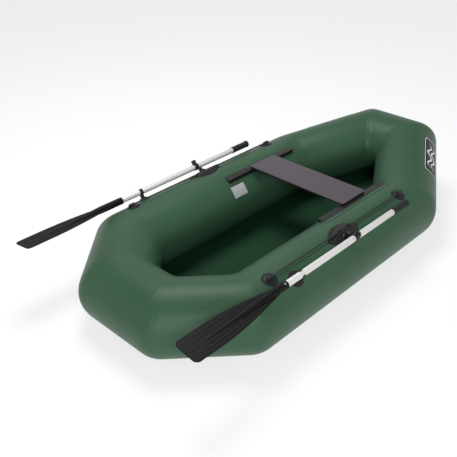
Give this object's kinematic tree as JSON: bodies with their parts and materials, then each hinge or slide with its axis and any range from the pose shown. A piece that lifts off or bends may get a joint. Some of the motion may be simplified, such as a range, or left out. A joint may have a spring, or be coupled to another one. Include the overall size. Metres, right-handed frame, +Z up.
{
  "type": "inflatable rowing boat",
  "caption": "Inflatable octagonal rowing boat of round fabric tubes with a fabric floor, sliding thwart seat, grab lines, oarlocks and stowed two-piece oars.",
  "frame": {"origin": "on the ground under the middle of the hull, on the floor sheet's underside", "axes": "+X towards the bow, +Y to port, +Z up"},
  "size_m": [2.2106, 1.0888, 0.4178],
  "materials": {
    "hull_fabric": "satin PVC coated fabric",
    "patch_fabric": "satin PVC coated fabric",
    "pad_rubber": "matt moulded rubber",
    "black_plastic": "satin moulded plastic",
    "seat_board": "film-faced board, satin",
    "oar_shaft": "anodised, satin",
    "grip": "matt",
    "steel": "brushed",
    "rope": "braided",
    "label": "satin",
    "badge": "printed, satin",
    "valve_core": "gloss"
  },
  "bodies": {
    "hull": {"side_tube_port": "hull_fabric", "side_tube_starboard": "hull_fabric", "bow_tube": "hull_fabric", "stern_tube": "hull_fabric", "bow_corner_tube_port": "hull_fabric", "bow_corner_tube_starboard": "hull_fabric", "stern_corner_tube_port": "hull_fabric", "stern_corner_tube_starboard": "hull_fabric", "seam_tapes": "patch_fabric", "chamber_baffles": "patch_fabric", "floor_sheet": "patch_fabric", "rail_bases": "patch_fabric", "seat_rail_port": "black_plastic", "seat_rail_starboard": "black_plastic", "data_plate": "label", "bow_badges": "badge", "oarlock_pads": "pad_rubber", "oarlock_base_port": "black_plastic", "oarlock_base_starboard": "black_plastic", "oarlock_axles": "steel", "eyelet_pads": "pad_rubber", "eyelets": "black_plastic", "grab_line_port": "rope", "grab_line_starboard": "rope", "clip_bases": "black_plastic", "clip_jaws_port": "black_plastic", "clip_jaws_starboard": "black_plastic", "valve_body_fore": "black_plastic", "valve_body_aft": "black_plastic", "valve_spring_fore": "steel", "valve_spring_aft": "steel"},
    "seat": {"seat_board": "seat_board", "seat_brackets": "black_plastic", "seat_screws": "steel"},
    "cradle_port": {"oarlock_cradle_port": "black_plastic", "swivel_pin_port": "steel"},
    "oar_port": {"oarlock_clamp_port": "black_plastic", "clamp_bolt_port": "steel", "oar_shaft_port": "oar_shaft", "oar_grip_port": "grip", "oar_blade_port": "black_plastic", "button_spring_port": "steel"},
    "nut_port": {"wing_nut_port": "black_plastic"},
    "button_port": {"snap_button_port": "steel"},
    "cradle_starboard": {"oarlock_cradle_starboard": "black_plastic", "swivel_pin_starboard": "steel"},
    "oar_starboard": {"oarlock_clamp_starboard": "black_plastic", "clamp_bolt_starboard": "steel", "oar_shaft_starboard": "oar_shaft", "oar_grip_starboard": "grip", "oar_blade_starboard": "black_plastic", "button_spring_starboard": "steel"},
    "nut_starboard": {"wing_nut_starboard": "black_plastic"},
    "button_starboard": {"snap_button_starboard": "steel"},
    "poppet_fore": {"valve_poppet_fore": "valve_core"},
    "cap_fore": {"valve_cap_fore": "black_plastic"},
    "poppet_aft": {"valve_poppet_aft": "valve_core"},
    "cap_aft": {"valve_cap_aft": "black_plastic"}
  },
  "joints": [
    {"name": "seat_slide", "type": "slide", "parent": "hull", "child": "seat", "axis": [1, 0, 0], "range_m": [-0.15, 0.145]},
    {"name": "oar_dip_port", "type": "hinge", "parent": "hull", "child": "cradle_port", "pos_m": [-0.136, 0.4389, 0.31854], "axis": [1, 0, 0], "range_deg": [-10, 12], "deforming": ["clip_jaws_port"]},
    {"name": "oar_swing_port", "type": "hinge", "parent": "cradle_port", "child": "oar_port", "pos_m": [-0.136, 0.44932, 0.32195], "axis": [0, -0.4226, -0.9063], "range_deg": [0, 100], "deforming": ["clip_jaws_port"]},
    {"name": "wing_nut_turn_port", "type": "hinge", "parent": "oar_port", "child": "nut_port", "pos_m": [-0.136, 0.50737, 0.34233], "axis": [0, 0.9063, -0.4226], "continuous": true},
    {"name": "snap_button_push_port", "type": "slide", "parent": "oar_port", "child": "button_port", "axis": [0, -0.4226, -0.9063], "range_m": [0, 0.005], "stiffness_N_per_m": 1500, "springref_m": -0.002, "deforming": ["button_spring_port"]},
    {"name": "oar_dip_starboard", "type": "hinge", "parent": "hull", "child": "cradle_starboard", "pos_m": [-0.136, -0.4389, 0.31854], "axis": [-1, 0, 0], "range_deg": [-10, 12], "deforming": ["clip_jaws_starboard"]},
    {"name": "oar_swing_starboard", "type": "hinge", "parent": "cradle_starboard", "child": "oar_starboard", "pos_m": [-0.136, -0.44932, 0.32195], "axis": [0, -0.4226, 0.9063], "range_deg": [0, 100], "deforming": ["clip_jaws_starboard"]},
    {"name": "wing_nut_turn_starboard", "type": "hinge", "parent": "oar_starboard", "child": "nut_starboard", "pos_m": [-0.136, -0.50737, 0.34233], "axis": [0, -0.9063, -0.4226], "continuous": true},
    {"name": "snap_button_push_starboard", "type": "slide", "parent": "oar_starboard", "child": "button_starboard", "axis": [0, 0.4226, -0.9063], "range_m": [0, 0.005], "stiffness_N_per_m": 1500, "springref_m": -0.002, "deforming": ["button_spring_starboard"]},
    {"name": "valve_poppet_push_fore", "type": "slide", "parent": "hull", "child": "poppet_fore", "axis": [0, -1, 0], "range_m": [0, 0.006], "stiffness_N_per_m": 400, "springref_m": -0.004, "deforming": ["valve_spring_fore"]},
    {"name": "valve_cap_hinge_fore", "type": "hinge", "parent": "hull", "child": "cap_fore", "pos_m": [0.33, -0.201, 0.1932], "axis": [1, 0, 0], "range_deg": [0, 120]},
    {"name": "valve_poppet_push_aft", "type": "slide", "parent": "hull", "child": "poppet_aft", "axis": [0, -1, 0], "range_m": [0, 0.006], "stiffness_N_per_m": 400, "springref_m": -0.004, "deforming": ["valve_spring_aft"]},
    {"name": "valve_cap_hinge_aft", "type": "hinge", "parent": "hull", "child": "cap_aft", "pos_m": [-0.55, -0.201, 0.1932], "axis": [1, 0, 0], "range_deg": [0, 120]}
  ]
}
